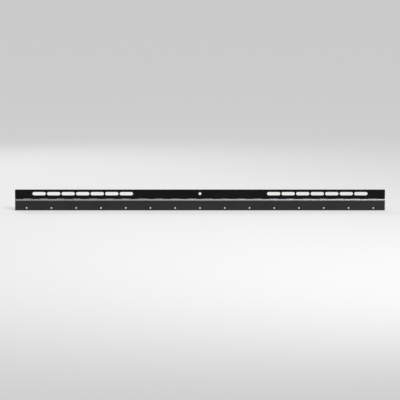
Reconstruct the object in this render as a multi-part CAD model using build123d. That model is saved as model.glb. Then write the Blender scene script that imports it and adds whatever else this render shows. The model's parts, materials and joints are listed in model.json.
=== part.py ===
from build123d import *
import math
import os

# Piano (continuous) hinge for the rear edge of a fold-down worktop, in millimetres.
#
# Three pieces: a fixed leaf that stands up, a swing leaf that hangs down, and one long pin.
# Each leaf is a strip of sheet steel whose tabs are rolled round the pin into knuckles.
# The knuckles of the two leaves take turns along the pin. The fixed leaf has one knuckle
# more, so it holds both ends of the pin, which is staked there.
#
# Frame: origin at the middle of the pin's axis. +X runs along the pin, +Z up the fixed leaf,
# and -Y is the front, where the barrel stands proud of both leaves. The backs of the leaves
# lie in one plane, which touches the barrel. The hinge is modelled flat open.

# Driving dimensions
HINGE_LENGTH = 1120.0
OPEN_WIDTH = 63.5
SHEET = 1.5
PIN_DIAMETER = 3.2
PIN_CLEARANCE = 0.05
KNUCKLE_COUNT = 45
KNUCKLE_GAP = 0.4
NOTCH_CLEARANCE = 0.25
SEAM_GAP = 0.15
CORNER_RADIUS = 2.0

# Fixed leaf: two banks of slots and one locating hole, all in one row
SLOTS_PER_BANK = 7
SLOT_LENGTH = 40.0
SLOT_WIDTH = 10.0
SLOT_PITCH = 44.0
BANK_CENTRE = 355.0
SLOT_ROW = 19.0
LOCATING_HOLE_DIAMETER = 8.0

# Swing leaf: one row of holes, countersunk from the back
SCREW_COUNT = 15
SCREW_PITCH = 75.0
SCREW_ROW = 24.5
SCREW_HOLE_DIAMETER = 4.6
COUNTERSINK_DIAMETER = 6.8

# Pin ends and the punch marks that hold the pin in the end knuckles
PIN_RECESS = 0.6
PIN_CHAMFER = 0.4
STAKE_INSET = 6.0
STAKE_RADIUS = 1.5
STAKE_DEPTH = 0.4

# Worked out from them
LEAF_REACH = OPEN_WIDTH / 2
PIN_RADIUS = PIN_DIAMETER / 2
BORE_RADIUS = PIN_RADIUS + PIN_CLEARANCE
BARREL_RADIUS = BORE_RADIUS + SHEET
NOTCH_DEPTH = BARREL_RADIUS + NOTCH_CLEARANCE
KNUCKLE_PITCH = HINGE_LENGTH / KNUCKLE_COUNT
COUNTERSINK_DEPTH = (COUNTERSINK_DIAMETER - SCREW_HOLE_DIAMETER) / 2
THROUGH = 4 * BARREL_RADIUS


def knuckle_start(index):
    """Where knuckle number index starts along X."""
    return index * KNUCKLE_PITCH - HINGE_LENGTH / 2


def rolled_strip():
    """The fixed leaf before it is punched: a flat strip that curls once round the pin."""
    touch_angle = math.acos((BORE_RADIUS - SEAM_GAP) / BARREL_RADIUS)
    curl = 360 - math.degrees(touch_angle)
    with BuildSketch(Plane.YZ) as profile:
        with BuildLine():
            back = Line((BARREL_RADIUS, LEAF_REACH), (BARREL_RADIUS, 0))
            outside = CenterArc((0, 0), BARREL_RADIUS, 0, -curl)
            inside = CenterArc((0, 0), BORE_RADIUS, 0, -curl)
            Line(outside @ 1, inside @ 1)
            front = Line((BORE_RADIUS, 0), (BORE_RADIUS, LEAF_REACH))
            Line(front @ 1, back @ 0)
        make_face()
    return extrude(profile.sketch, HINGE_LENGTH / 2, both=True)


def notches(indices):
    """Cutters that clear the fixed leaf away from the other leaf's knuckles."""
    low = -BARREL_RADIUS - 1
    size = (KNUCKLE_PITCH + KNUCKLE_GAP, THROUGH, NOTCH_DEPTH - low)
    middles = [knuckle_start(i) + KNUCKLE_PITCH / 2 for i in indices]
    return [Pos(x, 0, (NOTCH_DEPTH + low) / 2) * Box(*size) for x in middles]


def round_corners(leaf):
    """Rounds the two corners of the leaf's free edge, which is its highest."""
    across = leaf.edges().filter_by(Axis.Y)
    return fillet(across.group_by(Axis.Z)[-1], CORNER_RADIUS)


def punched(shape):
    """A flat outline in X and Z as a cutter that goes right through a leaf."""
    return extrude(Plane.XZ * shape, THROUGH, both=True)


def slot_centres():
    """Where the slots are along X, one bank each side of the middle."""
    first = -(SLOTS_PER_BANK - 1) / 2
    steps = [(first + k) * SLOT_PITCH for k in range(SLOTS_PER_BANK)]
    return [bank + step for bank in (-BANK_CENTRE, BANK_CENTRE) for step in steps]


def stake_marks():
    """One punch mark on the front of each end knuckle."""
    y = -(BARREL_RADIUS + STAKE_RADIUS - STAKE_DEPTH)
    x = HINGE_LENGTH / 2 - STAKE_INSET
    return [Pos(side * x, y, 0) * Sphere(STAKE_RADIUS) for side in (-1, 1)]


def fixed_leaf():
    """The standing leaf, with the even knuckles, the slots and the locating hole."""
    leaf = round_corners(rolled_strip())
    slots = [punched(Pos(x, SLOT_ROW) * SlotOverall(SLOT_LENGTH, SLOT_WIDTH)) for x in slot_centres()]
    hole = punched(Pos(0, SLOT_ROW) * Circle(LOCATING_HOLE_DIAMETER / 2))
    return leaf - notches(range(1, KNUCKLE_COUNT, 2)) - slots - hole - stake_marks()


def countersunk_hole(x):
    """A screw hole at x, seen on the strip before it is turned over to hang down."""
    hole = punched(Pos(x, SCREW_ROW) * Circle(SCREW_HOLE_DIAMETER / 2))
    cone = Cone(SCREW_HOLE_DIAMETER / 2, COUNTERSINK_DIAMETER / 2, COUNTERSINK_DEPTH)
    mouth = Pos(x, BARREL_RADIUS - COUNTERSINK_DEPTH / 2, SCREW_ROW) * Rot(-90, 0, 0) * cone
    return hole + mouth


def swing_leaf():
    """The hanging leaf, with the odd knuckles and the countersunk screw holes."""
    leaf = round_corners(rolled_strip())
    first = -(SCREW_COUNT - 1) / 2
    holes = [countersunk_hole((first + k) * SCREW_PITCH) for k in range(SCREW_COUNT)]
    standing = leaf - notches(range(0, KNUCKLE_COUNT, 2)) - holes
    return mirror(standing, about=Plane.XY)


def hinge_pin():
    """The long pin, a little shorter than the barrel, with chamfered ends."""
    pin = Cylinder(PIN_RADIUS, HINGE_LENGTH - 2 * PIN_RECESS)
    pin = chamfer(pin.edges().filter_by(GeomType.CIRCLE), PIN_CHAMFER)
    return Rot(0, 90, 0) * pin


os.makedirs("parts", exist_ok=True)
for name, shape in (
    ("fixed_leaf", fixed_leaf()),
    ("swing_leaf", swing_leaf()),
    ("hinge_pin", hinge_pin()),
):
    export_step(shape, f"parts/{name}.step")
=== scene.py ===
"""A piano hinge: two rolled sheet-steel leaves and their pin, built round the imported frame.

Each leaf is made the way a real one is. A flat blank gets its slots, holes, notches and tabs,
and is then rolled round the pin. A point of the blank is (x, s, h): x along the hinge, s down
the strip from the leaf's free edge, and h up from the middle of the sheet towards its back.
All lengths are in metres.
"""
import cmath
import json
import math
import random

import bpy
import numpy as np
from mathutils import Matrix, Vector
from mathutils.geometry import delaunay_2d_cdt


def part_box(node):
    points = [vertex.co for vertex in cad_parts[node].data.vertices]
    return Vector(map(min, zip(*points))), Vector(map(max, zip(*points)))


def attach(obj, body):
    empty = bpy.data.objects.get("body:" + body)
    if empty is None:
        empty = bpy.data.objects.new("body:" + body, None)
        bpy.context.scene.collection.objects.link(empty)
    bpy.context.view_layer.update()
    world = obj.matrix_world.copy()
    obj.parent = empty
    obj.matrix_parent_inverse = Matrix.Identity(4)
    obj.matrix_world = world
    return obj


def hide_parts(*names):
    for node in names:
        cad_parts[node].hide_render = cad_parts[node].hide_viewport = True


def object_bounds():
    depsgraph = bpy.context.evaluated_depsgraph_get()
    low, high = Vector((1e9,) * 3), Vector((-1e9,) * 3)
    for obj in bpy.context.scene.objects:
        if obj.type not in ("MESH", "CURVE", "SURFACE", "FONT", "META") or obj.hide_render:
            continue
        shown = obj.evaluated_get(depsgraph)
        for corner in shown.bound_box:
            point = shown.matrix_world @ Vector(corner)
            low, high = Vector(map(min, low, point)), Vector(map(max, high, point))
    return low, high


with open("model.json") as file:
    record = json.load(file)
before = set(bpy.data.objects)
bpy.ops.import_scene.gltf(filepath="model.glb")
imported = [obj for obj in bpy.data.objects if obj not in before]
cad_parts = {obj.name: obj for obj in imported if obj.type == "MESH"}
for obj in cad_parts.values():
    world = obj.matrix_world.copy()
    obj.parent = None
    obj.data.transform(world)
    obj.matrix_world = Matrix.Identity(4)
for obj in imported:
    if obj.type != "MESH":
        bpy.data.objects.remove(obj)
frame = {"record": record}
cad_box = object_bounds()

# From the frame
LEFT_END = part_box("fixed_leaf")[0].x
RIGHT_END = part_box("fixed_leaf")[1].x
LEAF_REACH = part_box("fixed_leaf")[1].z
BARREL_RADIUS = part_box("fixed_leaf")[1].y
PIN_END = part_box("hinge_pin")[1].x
MOUNTS = {mount["name"]: mount for mount in frame["record"]["mounts"]}

# Sheet and pin
SHEET = 0.0015
PIN_RADIUS = 0.0016
PIN_CHAMFER = 0.0004
PIN_SIDES = 64

# Knuckles. Each leaf has its own seed, which settles how its gaps vary.
KNUCKLE_COUNT = 45
KNUCKLE_GAP = 0.0004
GAP_SCATTER = 0.00005
FIXED_LEAF_SEED = 3
SWING_LEAF_SEED = 4
NOTCH_CLEARANCE = 0.00025
SEAM_GAP = 0.00015
CURL_STEP = math.radians(6)

# Corners of the blank, and the rounded edge that the punch and the coat leave
LEAF_CORNER = 0.002
NOTCH_CORNER = 0.0005
TAB_CORNER = 0.0004
EDGE_RADIUS = 0.0002
FINE_RADIUS = 0.0001

# Arcs are drawn in straight steps, finer ones where the radius is large enough to show them
ARC_STEP = math.radians(15)
LARGE_ARC = 0.0015
LARGE_ARC_STEP = math.radians(6)

# Countersinks in the swing leaf's back
COUNTERSINK_RADIUS = 0.0034

# Punch marks that hold the pin, each pressed by a ball. The rings are shares of a mark's radius.
STAKE_INSET = 0.006
STAKE_BALL = 0.0015
STAKE_DEPTH = 0.0004
STAKE_RINGS = (1.0, 0.96, 0.84, 0.68, 0.5, 0.3)

# The coat stops at a straight masked line, just clear of the barrel
MASK_MARGIN = 0.0001

# Worked out from them
HALF_SHEET = SHEET / 2
MID_RADIUS = BARREL_RADIUS - HALF_SHEET
BORE_RADIUS = BARREL_RADIUS - SHEET
CURL = math.tau - math.acos((BORE_RADIUS - SEAM_GAP) / BARREL_RADIUS)
TIP = LEAF_REACH + MID_RADIUS * CURL
NOTCH = LEAF_REACH - BARREL_RADIUS - NOTCH_CLEARANCE
MASK_LINE = LEAF_REACH - BARREL_RADIUS - MASK_MARGIN
KNUCKLE_PITCH = (RIGHT_END - LEFT_END) / KNUCKLE_COUNT

MM_PER_METRE = 1000
TINY = 1e-8

# How the triangulation is asked for: every triangle, with points this close in millimetres made one
ALL_TRIANGLES = 0
MERGE_DISTANCE = 1e-7


# ---------------------------------------------------------------- outlines

def rounded(corners, closed=True):
    """Rounds a path's corners, each given as (a, b, radius).

    Returns rows of (a, b, normal a, normal b). The normal points to the right of the way
    the path runs, which is away from the metal. An open path leaves its two ends out.
    """
    spots = [complex(a, b) for a, b, _ in corners]
    rows = []
    first, last = (0, len(corners)) if closed else (1, len(corners) - 1)
    for i in range(first, last):
        before, here, after = spots[i - 1], spots[i], spots[(i + 1) % len(spots)]
        way_in = (here - before) / abs(here - before)
        turn = cmath.phase((after - here) / way_in)
        radius = math.copysign(corners[i][2], turn)
        normal = way_in / 1j
        centre = here - way_in * radius * math.tan(turn / 2) - normal * radius
        step = LARGE_ARC_STEP if abs(radius) > LARGE_ARC else ARC_STEP
        steps = max(2, round(abs(turn) / step))
        for k in range(steps + 1):
            spin = normal * cmath.rect(1, turn * k / steps)
            point = centre + spin * radius
            if not rows or abs(point - complex(*rows[-1][:2])) > TINY:
                rows.append((point.real, point.imag, spin.real, spin.imag))
    if closed and abs(complex(*rows[0][:2]) - complex(*rows[-1][:2])) < TINY:
        rows.pop()
    return rows


def hole(x, s, half_length, half_width):
    """A slot's or round hole's outline, with the metal on its left."""
    box = [(-1, 1), (1, 1), (1, -1), (-1, -1)]
    return rounded([(x + a * half_length, s + b * half_width, half_width) for a, b in box])


def holes_of(mount):
    """(x, s, half length, half width) of every hole that one of the record's mounts states."""
    dims = mount["dims"]
    radius = dims.get("hole_r_mm", dims.get("r_mm")) / MM_PER_METRE
    half_length = dims["slot_length_mm"] / 2 / MM_PER_METRE if "slot_length_mm" in dims else radius
    count = dims.get("count", 1)
    pitch = dims.get("spacing_x_mm", 0) / MM_PER_METRE
    x, _, z = mount["pos_m"]
    middle = (count - 1) / 2
    return [(x + (k - middle) * pitch, LEAF_REACH - abs(z), half_length, radius) for k in range(count)]


def tab_spans(first_knuckle, scatter):
    """The left and right end of each of a leaf's tabs, which are every second knuckle.

    scatter is the source of random draws that varies the gaps.
    """
    spans = []
    for k in range(first_knuckle, KNUCKLE_COUNT, 2):
        left = LEFT_END + k * KNUCKLE_PITCH
        right = left + KNUCKLE_PITCH
        if k > 0:
            left += KNUCKLE_GAP / 2 + scatter.uniform(0, GAP_SCATTER)
        if k < KNUCKLE_COUNT - 1:
            right -= KNUCKLE_GAP / 2 + scatter.uniform(0, GAP_SCATTER)
        spans.append((left, right))
    return spans


def blank_outline(spans):
    """The blank's outline: the free edge, then the tabs and notches from right to left."""
    corners = [(LEFT_END, 0, LEAF_CORNER), (RIGHT_END, 0, LEAF_CORNER)]
    if spans[-1][1] < RIGHT_END:
        corners.append((RIGHT_END, NOTCH, TAB_CORNER))
    for left, right in reversed(spans):
        if right < RIGHT_END:
            corners.append((right, NOTCH, NOTCH_CORNER))
        corners.append((right, TIP, TAB_CORNER))
        corners.append((left, TIP, TAB_CORNER))
        if left > LEFT_END:
            corners.append((left, NOTCH, NOTCH_CORNER))
    if spans[0][0] > LEFT_END:
        corners.append((LEFT_END, NOTCH, TAB_CORNER))
    return rounded(corners)


def levels():
    """Each s where faces must meet along a straight line: the mask line and the curl's steps."""
    steps = round(CURL / CURL_STEP)
    return [MASK_LINE] + [LEAF_REACH + MID_RADIUS * CURL * k / steps for k in range(steps)]


def cut_at_levels(loop):
    """The loop with a point added wherever it crosses a level."""
    out = []
    for here, after in zip(loop, loop[1:] + loop[:1]):
        out.append(here)
        low, high = sorted((here[1], after[1]))
        crossed = [s for s in levels() if low + TINY < s < high - TINY]
        for s in sorted(crossed, reverse=after[1] < here[1]):
            share = (s - here[1]) / (after[1] - here[1])
            x, across, down = (here[k] + share * (after[k] - here[k]) for k in (0, 2, 3))
            out.append((x, s, across, down))
    return out


# ---------------------------------------------------------------- edge profiles
# A profile runs from the front face to the back face in rows of (out, h, normal out, normal h),
# where out is how far the row stands out from the blank's outline, away from the metal.

def sheared_edge():
    """The plain cut edge of the sheet, rounded on both faces."""
    return rounded([
        (-SHEET, -HALF_SHEET, 0),
        (0, -HALF_SHEET, EDGE_RADIUS),
        (0, HALF_SHEET, EDGE_RADIUS),
        (-SHEET, HALF_SHEET, 0),
    ], closed=False)


def countersunk_edge(hole_radius):
    """The edge of a screw hole whose back is countersunk at 90 degrees."""
    depth = COUNTERSINK_RADIUS - hole_radius
    return rounded([
        (-SHEET, -HALF_SHEET, 0),
        (0, -HALF_SHEET, FINE_RADIUS),
        (0, HALF_SHEET - depth, FINE_RADIUS),
        (-depth, HALF_SHEET, FINE_RADIUS),
        (-depth - SHEET, HALF_SHEET, 0),
    ], closed=False)


# ---------------------------------------------------------------- rolled sheets

class Blank:
    """A leaf under construction: points and faces in the flat blank, before it is rolled."""

    def __init__(self):
        self.points = []
        self.normals = []
        self.faces = []
        self.rims = {"front": [], "back": []}

    def add_point(self, point, normal):
        self.points.append(point)
        self.normals.append(normal)
        return len(self.points) - 1

    def add_ring(self, loop, out, h, normal_out, normal_h):
        """One row of points that follows a loop, standing out from it and at height h."""
        ring = []
        for x, s, across, down in loop:
            point = (x + across * out, s + down * out, h)
            ring.append(self.add_point(point, (across * normal_out, down * normal_out, normal_h)))
        return ring

    def add_edge(self, outline, profile):
        """The wall along an outline, from the front face to the back face."""
        loop = cut_at_levels(outline)
        rings = [self.add_ring(loop, *row) for row in profile]
        for lower, upper in zip(rings, rings[1:]):
            self.join(lower, upper)
        self.rims["front"].append((loop, rings[0]))
        self.rims["back"].append((loop, rings[-1]))

    def add_dent(self, x, s, ball, depth):
        """A ball's mark in the back face. It is drawn narrower in s, as rolling widens it."""
        squeeze = MID_RADIUS / BARREL_RADIUS
        centre = HALF_SHEET + ball - depth
        radius = math.sqrt(ball ** 2 - (ball - depth) ** 2)
        circle = [(a, b) for a, b, _, _ in hole(0, 0, radius, radius)]
        mouth = [(x + a, s + b * squeeze, -a / radius, -b / radius) for a, b in circle]
        loop = cut_at_levels(mouth)
        rings = []
        for share in STAKE_RINGS:
            rise = math.sqrt(ball ** 2 - (share * radius) ** 2)
            h = centre - rise
            slope = share * radius / rise if share < 1 else 0
            ring = []
            for px, ps, across, down in loop:
                point = (x + (px - x) * share, s + (ps - s) * share, h)
                ring.append(self.add_point(point, (across * slope, down * slope, 1)))
            rings.append(ring)
        for outer, inner in zip(rings, rings[1:]):
            self.join(inner, outer)
        bottom = self.add_point((x, s, HALF_SHEET - depth), (0, 0, 1))
        last = rings[-1]
        self.faces += [(bottom, b, a) for a, b in zip(last, last[1:] + last[:1])]
        self.rims["back"].append((loop, rings[0]))

    def join(self, lower, upper):
        """Quads between two rings of the same loop."""
        for i in range(len(lower)):
            j = (i + 1) % len(lower)
            self.faces.append((lower[i], lower[j], upper[j], upper[i]))

    def add_face(self, which):
        """Fills the front or back face between its rims, with edges along the levels.

        It works in millimetres, rounded as the triangulation rounds them, so that the test of
        which triangles are inside sees the same points.
        """
        rims = self.rims[which]
        ids = [i for _, ring in rims for i in ring]
        flat = np.array([self.points[i][:2] for i in ids]) * MM_PER_METRE
        flat = flat.astype(np.float32).astype(float)
        edges = []
        crossings = {}
        start = 0
        for loop, ring in rims:
            count = len(ring)
            edges += [(start + k, start + (k + 1) % count) for k in range(count)]
            for k, row in enumerate(loop):
                crossings.setdefault(row[1], []).append(start + k)
            start += count
        rim_edges = np.array(edges)
        for s in levels():
            across = sorted(crossings.get(s, []), key=lambda k: flat[k, 0])
            edges += list(zip(across[::2], across[1::2]))
        made = delaunay_2d_cdt([Vector(p) for p in flat], edges, [], ALL_TRIANGLES, MERGE_DISTANCE)
        made_faces, sources = made[2], made[3]
        triangles = np.array([[sources[k][0] for k in face] for face in made_faces])
        triangles = triangles[inside(flat, rim_edges, triangles)]
        if which == "front":
            triangles = triangles[:, ::-1]
        self.faces += [(ids[a], ids[b], ids[c]) for a, b, c in triangles.tolist()]


def inside(flat, rim_edges, triangles):
    """Which triangles lie in the metal: their middle has an odd number of rim edges above it."""
    middle = flat[triangles].mean(1)
    a, b = flat[rim_edges[:, 0]], flat[rim_edges[:, 1]]
    odd = np.zeros(len(middle), bool)
    for (ax, ay), (bx, by) in zip(a, b):
        if ax == bx:
            continue
        spans = (ax > middle[:, 0]) != (bx > middle[:, 0])
        height = ay + (middle[:, 0] - ax) * (by - ay) / (bx - ax)
        odd ^= spans & (height > middle[:, 1])
    return odd


def roll(points, side):
    """Blank points rolled round the pin. side is 1 for the leaf that stands up, -1 for the other."""
    x, s, h = np.array(points).T
    turn = np.clip((s - LEAF_REACH) / MID_RADIUS, 0, None)
    y = (MID_RADIUS + h) * np.cos(turn)
    z = np.clip(LEAF_REACH - s, 0, None) - (MID_RADIUS + h) * np.sin(turn)
    return np.stack([x, y, side * z], 1)


def roll_normals(points, normals, side):
    """The blank's normals, turned as the roll turns the sheet under them."""
    s = np.array(points)[:, 1]
    turn = np.clip((s - LEAF_REACH) / MID_RADIUS, 0, None)
    across, down, up = np.array(normals).T
    y = up * np.cos(turn) - down * np.sin(turn)
    z = -up * np.sin(turn) - down * np.cos(turn)
    turned = np.stack([across, y, side * z], 1)
    return turned / np.linalg.norm(turned, axis=1)[:, None]


def make_object(name, points, normals, faces, finishes, finish_of_face, edge=None):
    """A smooth mesh object with exact normals, and how much each point is part of a cut edge."""
    mesh = bpy.data.meshes.new(name)
    mesh.from_pydata([tuple(p) for p in points], [], faces)
    mesh.polygons.foreach_set("use_smooth", [True] * len(faces))
    for finish in finishes:
        mesh.materials.append(finish)
    mesh.polygons.foreach_set("material_index", finish_of_face)
    if edge is not None:
        mesh.attributes.new("cut_edge", "FLOAT", "POINT").data.foreach_set("value", edge)
    mesh.normals_split_custom_set_from_vertices([tuple(n) for n in normals])
    mesh.update()
    piece = bpy.data.objects.new(name, mesh)
    bpy.context.scene.collection.objects.link(piece)
    return piece


def make_leaf(name, blank, side, coat, bare):
    """Rolls a blank into its leaf. Past the mask line the metal is bare."""
    blank.add_face("front")
    blank.add_face("back")
    s = [p[1] for p in blank.points]
    bare_face = [sum(s[i] for i in face) / len(face) > MASK_LINE for face in blank.faces]
    faces = blank.faces if side > 0 else [tuple(reversed(face)) for face in blank.faces]
    edge = [math.hypot(*normal[:2]) for normal in blank.normals]
    return make_object(
        name, roll(blank.points, side), roll_normals(blank.points, blank.normals, side),
        faces, [coat, bare], [int(b) for b in bare_face], edge,
    )


def make_fixed_leaf(coat, bare):
    """The standing leaf: slots, locating hole, even knuckles and the two punch marks."""
    blank = Blank()
    blank.add_edge(blank_outline(tab_spans(0, random.Random(FIXED_LEAF_SEED))), sheared_edge())
    for name, mount in MOUNTS.items():
        if name.startswith("slots") or name == "locating_hole":
            for place in holes_of(mount):
                blank.add_edge(hole(*place), sheared_edge())
    for x in (LEFT_END + STAKE_INSET, RIGHT_END - STAKE_INSET):
        blank.add_dent(x, LEAF_REACH + MID_RADIUS * math.pi, STAKE_BALL, STAKE_DEPTH)
    return make_leaf("fixed_leaf_sheet", blank, 1, coat, bare)


def make_swing_leaf(coat, bare):
    """The hanging leaf: countersunk screw holes and the odd knuckles."""
    blank = Blank()
    blank.add_edge(blank_outline(tab_spans(1, random.Random(SWING_LEAF_SEED))), sheared_edge())
    for name, mount in MOUNTS.items():
        if "screw" in name:
            for place in holes_of(mount):
                blank.add_edge(hole(*place), countersunk_edge(place[3]))
    return make_leaf("swing_leaf_sheet", blank, -1, coat, bare)


def make_pin(bare):
    """The pin: a lathed rod with chamfered ends."""
    profile = rounded([
        (PIN_END, 0, 0),
        (PIN_END, PIN_RADIUS - PIN_CHAMFER, FINE_RADIUS),
        (PIN_END - PIN_CHAMFER, PIN_RADIUS, FINE_RADIUS),
        (-PIN_END + PIN_CHAMFER, PIN_RADIUS, FINE_RADIUS),
        (-PIN_END, PIN_RADIUS - PIN_CHAMFER, FINE_RADIUS),
        (-PIN_END, 0, 0),
    ], closed=False)
    points, normals, faces = [], [], []
    for x, radius, normal_x, normal_out in profile:
        for k in range(PIN_SIDES):
            y, z = math.cos(math.tau * k / PIN_SIDES), math.sin(math.tau * k / PIN_SIDES)
            points.append((x, radius * y, radius * z))
            normals.append((normal_x, normal_out * y, normal_out * z))
    for row in range(len(profile) - 1):
        for k in range(PIN_SIDES):
            a, b = row * PIN_SIDES + k, row * PIN_SIDES + (k + 1) % PIN_SIDES
            faces.append((a, a + PIN_SIDES, b + PIN_SIDES, b))
    for x, row in ((PIN_END, 0), (-PIN_END, len(profile) - 1)):
        middle = len(points)
        points.append((x, 0, 0))
        normals.append((math.copysign(1, x), 0, 0))
        for k in range(PIN_SIDES):
            a, b = row * PIN_SIDES + k, row * PIN_SIDES + (k + 1) % PIN_SIDES
            faces.append((a, b, middle) if x > 0 else (b, a, middle))
    return make_object("hinge_pin_rod", points, normals, faces, [bare], [0] * len(faces))


# ---------------------------------------------------------------- finishes

# Powder coat: the lengths of its patterns, and how deep its bumps are
TONE_PATCH = 0.09
SMUDGE = 0.025
SPECK = 0.0007
DUSTY_PATCH = 0.04
RUB = 0.006
RUBBED_PATCH = 0.06
PEEL = 0.0018
PEEL_DEPTH = 0.0002
GRAIN = 0.0005
GRAIN_DEPTH = 0.00004

# Its scratches: the size of the cells that they lie in, their length and width, and the share of
# cells that have one
LONG_SCRATCHES = (0.031, 0.020, 0.00012, 0.3)
SHORT_SCRATCHES = (0.012, 0.007, 0.00008, 0.3)

# Zinc: the lengths of its patterns. The rolling lines are much longer along the hinge than across.
TINT_PATCH = 0.05
ROLLING_LINE = 0.0004
ROLLING_STRETCH = (60, 1, 1)
ROLLING_DEPTH = 0.00001
GREASE_AND_SHADE_PATCH = 0.0008
WIPED_PATCH = 0.006

# Colours that are the same in every finish
DUST = (0.30, 0.29, 0.27, 1)
SCRATCH = (0.24, 0.24, 0.24, 1)
BARE_STEEL = (0.34, 0.33, 0.32, 1)
# Near black, for old grease and for painted shade at the knuckle gaps
GREASE_AND_SHADE = (0.035, 0.03, 0.025, 1)


def grey(tone):
    return (tone, tone, tone, 1)


class Finish:
    """A node material under construction. Its textures lie in object coordinates, in metres."""

    def __init__(self, name):
        self.material = bpy.data.materials.new(name)
        self.material.use_nodes = True
        self.tree = self.material.node_tree
        self.shader = self.tree.nodes["Principled BSDF"]
        self.place = self.node("ShaderNodeTexCoord").outputs["Object"]

    def node(self, kind, inputs=(), **settings):
        """A new node with its settings, and its inputs given as (socket, value or link)."""
        node = self.tree.nodes.new(kind)
        for name, value in settings.items():
            setattr(node, name, value)
        for socket, value in inputs:
            self.put(node.inputs[socket], value)
        return node

    def put(self, socket, value):
        """Links a socket to another node's output, or sets its value."""
        if isinstance(value, bpy.types.NodeSocket):
            self.tree.links.new(value, socket)
        else:
            socket.default_value = value

    def maths(self, operation, a, b=0.0):
        return self.node("ShaderNodeMath", [(0, a), (1, b)], operation=operation).outputs[0]

    def noise(self, wavelength, detail=2.0, stretch=(1, 1, 1)):
        """Noise from 0 to 1 whose blobs are about one wavelength long, times stretch on each axis."""
        scale = tuple(1 / s for s in stretch)
        place = self.node("ShaderNodeVectorMath", [(0, self.place), (1, scale)], operation="MULTIPLY")
        texture = self.node("ShaderNodeTexNoise", [
            ("Vector", place.outputs[0]), ("Scale", 1 / wavelength), ("Detail", detail),
        ])
        return texture.outputs["Fac"]

    def remap(self, value, low, high, to_low=0.0, to_high=1.0):
        """value taken from low..high to to_low..to_high, and held there outside."""
        node = self.node("ShaderNodeMapRange", [
            (0, value), (1, low), (2, high), (3, to_low), (4, to_high),
        ], interpolation_type="SMOOTHSTEP")
        return node.outputs[0]

    def blend(self, share, a, b):
        """Colour a where share is 0, colour b where it is 1."""
        node = self.node("ShaderNodeMix", data_type="RGBA")
        self.put(node.inputs[0], share)
        self.put(node.inputs[6], a)
        self.put(node.inputs[7], b)
        return node.outputs[2]

    def bump(self, height, distance, strength=1.0, under=None):
        node = self.node("ShaderNodeBump", [
            ("Height", height), ("Distance", distance), ("Strength", strength),
        ])
        if under is not None:
            self.put(node.inputs["Normal"], under)
        return node.outputs[0]

    def cut_edge(self):
        """How much a point is part of a cut edge: 0 on the sheet's faces, 1 on its edge walls."""
        return self.node("ShaderNodeAttribute", attribute_name="cut_edge").outputs["Fac"]

    def scratches(self, cell, length, width, share):
        """A straight scratch at a random angle in a share of the cells of a random pattern."""
        x, _, z = self.node("ShaderNodeSeparateXYZ", [(0, self.place)]).outputs
        flat = self.node("ShaderNodeCombineXYZ", [(0, x), (1, z)]).outputs[0]
        cells = self.node("ShaderNodeTexVoronoi", [
            ("Vector", flat), ("Scale", 1 / cell),
        ], voronoi_dimensions="2D")
        pick = self.node("ShaderNodeSeparateColor", [(0, cells.outputs["Color"])])
        from_middle = self.node("ShaderNodeVectorMath", [
            (0, flat), (1, cells.outputs["Position"]),
        ], operation="SUBTRACT").outputs[0]
        turned = self.node("ShaderNodeVectorRotate", [
            ("Vector", from_middle), ("Angle", self.maths("MULTIPLY", pick.outputs[0], math.tau)),
        ], rotation_type="Z_AXIS").outputs[0]
        along, across, _ = self.node("ShaderNodeSeparateXYZ", [(0, turned)]).outputs
        line = self.remap(self.maths("ABSOLUTE", across), width, width / 3)
        fade = self.remap(self.maths("ABSOLUTE", along), length / 2, length / 8)
        there = self.maths("LESS_THAN", pick.outputs[1], share)
        return self.maths("MULTIPLY", self.maths("MULTIPLY", line, fade), there)

    def set(self, **sockets):
        """Values or links on the shader's sockets, whose names have _ for a space here."""
        for name, value in sockets.items():
            self.put(self.shader.inputs[name.replace("_", " ")], value)


def specks(coat):
    """Specks of dust, which gather in patches."""
    speck = coat.remap(coat.noise(SPECK, 1), 0.70, 0.78)
    dusty = coat.remap(coat.noise(DUSTY_PATCH, 2), 0.45, 0.6)
    return coat.maths("MULTIPLY", speck, dusty)


def worn_edges(coat):
    """Where the coat is worn off: on the rounded rims of cut edges, in rubbed stretches."""
    edge = coat.cut_edge()
    rim = coat.maths("MULTIPLY", coat.remap(edge, 0.15, 0.5), coat.remap(edge, 1.0, 0.9, 0.25, 1.0))
    rub = coat.remap(coat.noise(RUB, 5), 0.46, 0.60)
    rubbed_patch = coat.remap(coat.noise(RUBBED_PATCH, 1), 0.48, 0.60)
    return coat.maths("MULTIPLY", rim, coat.maths("MULTIPLY", rub, rubbed_patch))


def powder_coat(name, dark, light, specular):
    """Satin powder coat: orange peel, smudges, specks, fine scratches, and edges worn to the steel."""
    coat = Finish(name)
    colour = coat.blend(coat.remap(coat.noise(TONE_PATCH, 4), 0.3, 0.7), dark, light)
    colour = coat.blend(coat.maths("MULTIPLY", specks(coat), 0.16), colour, DUST)
    scratched = coat.maths("MAXIMUM", coat.scratches(*LONG_SCRATCHES), coat.scratches(*SHORT_SCRATCHES))
    colour = coat.blend(coat.maths("MULTIPLY", scratched, 0.13), colour, SCRATCH)
    worn = worn_edges(coat)
    colour = coat.blend(worn, colour, BARE_STEEL)

    peel = coat.bump(coat.noise(PEEL, 1), PEEL_DEPTH, 0.8)
    grain = coat.bump(coat.noise(GRAIN, 2), GRAIN_DEPTH, 0.7, under=peel)
    smudged = coat.remap(coat.noise(SMUDGE, 4), 0.35, 0.65, 0.34, 0.46)
    roughness = coat.maths("ADD", smudged, coat.maths("MULTIPLY", scratched, 0.15))
    coat.set(Base_Color=colour, Metallic=worn, Roughness=roughness, Normal=grain)
    coat.set(Specular_IOR_Level=specular)
    return coat.material


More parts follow.
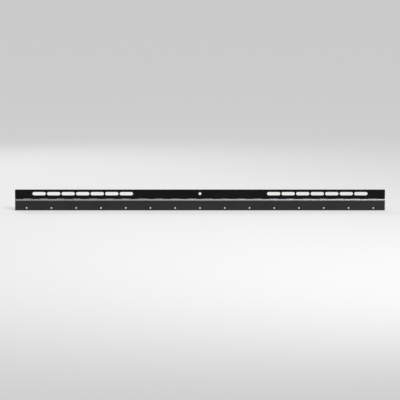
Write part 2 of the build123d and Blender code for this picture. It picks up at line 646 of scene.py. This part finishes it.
def knuckle_grease_and_shade(plate, knuckle, grease_and_shade_width):
    """Old grease and painted shade: a band each side of every knuckle gap, and the cut edges."""
    off_middle = plate.maths("ABSOLUTE", plate.maths("SUBTRACT", plate.maths("FRACT", knuckle), 0.5))
    near_gap = plate.remap(off_middle, 0.5 - grease_and_shade_width / KNUCKLE_PITCH, 0.5)
    on_edge = plate.remap(plate.cut_edge(), 0.6, 0.95, 0.0, 0.8)
    blots = plate.remap(plate.noise(GREASE_AND_SHADE_PATCH, 4), 0.3, 0.6, 0.35, 1.0)
    return plate.maths("MULTIPLY", plate.maths("MAXIMUM", near_gap, on_edge), blots)


def zinc(name, tone, grease_and_shade_width):
    """Bright zinc plate: a faint tint, rolling lines, a tone of its own per knuckle, and grease with
    painted shade.
    """
    plate = Finish(name)
    cool = (tone * 0.91, tone * 0.98, tone * 1.06, 1)
    warm = (tone * 0.98, tone * 0.99, tone * 0.97, 1)
    colour = plate.blend(plate.remap(plate.noise(TINT_PATCH, 3), 0.35, 0.65), cool, warm)
    lines = plate.noise(ROLLING_LINE, 3, stretch=ROLLING_STRETCH)
    colour = plate.blend(plate.remap(lines, 0.55, 0.75, 0.0, 0.25), colour, grey(tone * 0.6))

    along = plate.node("ShaderNodeSeparateXYZ", [(0, plate.place)]).outputs[0]
    knuckle = plate.maths("DIVIDE", plate.maths("SUBTRACT", along, LEFT_END), KNUCKLE_PITCH)
    number = plate.maths("FLOOR", knuckle)
    own = plate.node("ShaderNodeTexWhiteNoise", [("W", number)], noise_dimensions="1D").outputs[0]
    colour = plate.blend(plate.maths("MULTIPLY", own, 0.14), colour, grey(tone * 0.5))
    # Painted shade along with the grease: the knuckle gaps and cut edges darken towards near black
    grease_and_shade = knuckle_grease_and_shade(plate, knuckle, grease_and_shade_width)
    colour = plate.blend(plate.maths("MULTIPLY", grease_and_shade, 0.85), colour, GREASE_AND_SHADE)

    wiped = plate.remap(plate.noise(WIPED_PATCH, 4), 0.3, 0.7, 0.26, 0.40)
    roughness = plate.maths("ADD", wiped, plate.maths("MULTIPLY", grease_and_shade, 0.3))
    drawn = plate.bump(lines, ROLLING_DEPTH, 0.6)
    plate.set(Base_Color=colour, Roughness=roughness, Normal=drawn, Metallic=1.0)
    return plate.material


# ---------------------------------------------------------------- studio

# The photograph's direction and distance, and how much of the frame's width the hinge fills
VIEW_DISTANCE = 6.15
VIEW_ELEVATION = math.radians(6.5)
FRAME_FILL = 0.925

FLOOR_HALF_WIDTH = 150.0
FLOOR_COLOUR = (0.83, 0.83, 0.83, 1)

# Even surroundings, a soft sun and a soft box at the front right, and weaker boxes at the rear left
# and the front left
AMBIENT = 0.38
SUN_PLACE = (1.0, -1.6, 3.4)
SUN_STRENGTH = 1.25
SUN_ANGLE = math.radians(40)
SOFT_BOX_PLACE = (1.3, -2.8, 1.9)
SOFT_BOX_WATTS = 12.5
REAR_FILL_PLACE = (-1.4, 2.6, 1.5)
REAR_FILL_WATTS = 5.0
LEFT_FILL_PLACE = (-2.8, -1.9, 1.5)
LEFT_FILL_WATTS = 3.0
BOX = {"shape": "RECTANGLE", "size": 1.4, "size_y": 0.6, "spread": math.radians(90)}


def aim(thing, place, target):
    """Puts a camera or lamp at place and points it at target."""
    thing.location = place
    thing.rotation_euler = (Vector(target) - Vector(place)).to_track_quat("-Z", "Y").to_euler()


def make_camera():
    """A long lens from the photograph's direction and distance, so that the hinge fills the frame."""
    camera = bpy.data.objects.new("camera", bpy.data.cameras.new("camera"))
    bpy.context.scene.collection.objects.link(camera)
    data = camera.data
    data.lens = FRAME_FILL * data.sensor_width * VIEW_DISTANCE / (RIGHT_END - LEFT_END)
    data.clip_end = 4 * FLOOR_HALF_WIDTH
    back = -math.cos(VIEW_ELEVATION) * VIEW_DISTANCE
    aim(camera, (0, back, math.sin(VIEW_ELEVATION) * VIEW_DISTANCE), (0, 0, 0))
    bpy.context.scene.camera = camera


def make_lamp(name, kind, place, energy, **settings):
    """A lamp at place that points at the middle of the hinge."""
    data = bpy.data.lights.new(name, kind)
    data.energy = energy
    for key, value in settings.items():
        setattr(data, key, value)
    lamp = bpy.data.objects.new(name, data)
    bpy.context.scene.collection.objects.link(lamp)
    aim(lamp, place, (0, 0, 0))


def make_floor():
    """A pale floor at the hanging leaf's lower edge."""
    low = cad_box[0].z
    half = FLOOR_HALF_WIDTH
    mesh = bpy.data.meshes.new("floor")
    corners = [(-half, -half, low), (half, -half, low), (half, half, low), (-half, half, low)]
    mesh.from_pydata(corners, [], [(0, 1, 2, 3)])
    floor = bpy.data.objects.new("floor", mesh)
    bpy.context.scene.collection.objects.link(floor)
    paint = Finish("pale_floor")
    paint.set(Base_Color=FLOOR_COLOUR, Roughness=0.9, Specular_IOR_Level=0.1)
    mesh.materials.append(paint.material)


def make_studio():
    """The surroundings, the lamps and the floor."""
    world = bpy.data.worlds.new("studio")
    world.use_nodes = True
    background = world.node_tree.nodes["Background"]
    background.inputs["Color"].default_value = (1, 1, 1, 1)
    background.inputs["Strength"].default_value = AMBIENT
    bpy.context.scene.world = world
    bpy.context.scene.view_settings.view_transform = "Standard"
    make_lamp("sun", "SUN", SUN_PLACE, SUN_STRENGTH, angle=SUN_ANGLE)
    make_lamp("soft_box", "AREA", SOFT_BOX_PLACE, SOFT_BOX_WATTS, **BOX)
    make_lamp("rear_fill", "AREA", REAR_FILL_PLACE, REAR_FILL_WATTS, **BOX)
    make_lamp("left_fill", "AREA", LEFT_FILL_PLACE, LEFT_FILL_WATTS, **BOX)
    make_floor()


# ---------------------------------------------------------------- the hinge

make_camera()
make_studio()
bright = zinc("bright_zinc", tone=0.33, grease_and_shade_width=0.0011)
# The fixed leaf's coat is the charcoal coat with painted shade: darker and less shiny than the swing
# leaf's
shade_darkened_coat = powder_coat(
    "shade_darkened_powder_coat",
    dark=(0.002, 0.002, 0.0024, 1), light=(0.004, 0.004, 0.0046, 1), specular=0.10,
)
charcoal = powder_coat(
    "charcoal_powder_coat",
    dark=(0.010, 0.010, 0.011, 1), light=(0.015, 0.015, 0.016, 1), specular=0.32,
)

fixed_leaf = make_fixed_leaf(shade_darkened_coat, bright)
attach(fixed_leaf, "fixed")
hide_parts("fixed_leaf")

swing_leaf = make_swing_leaf(charcoal, bright)
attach(swing_leaf, "swing")
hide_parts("swing_leaf")

pin = make_pin(bright)
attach(pin, "fixed")
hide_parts("hinge_pin")
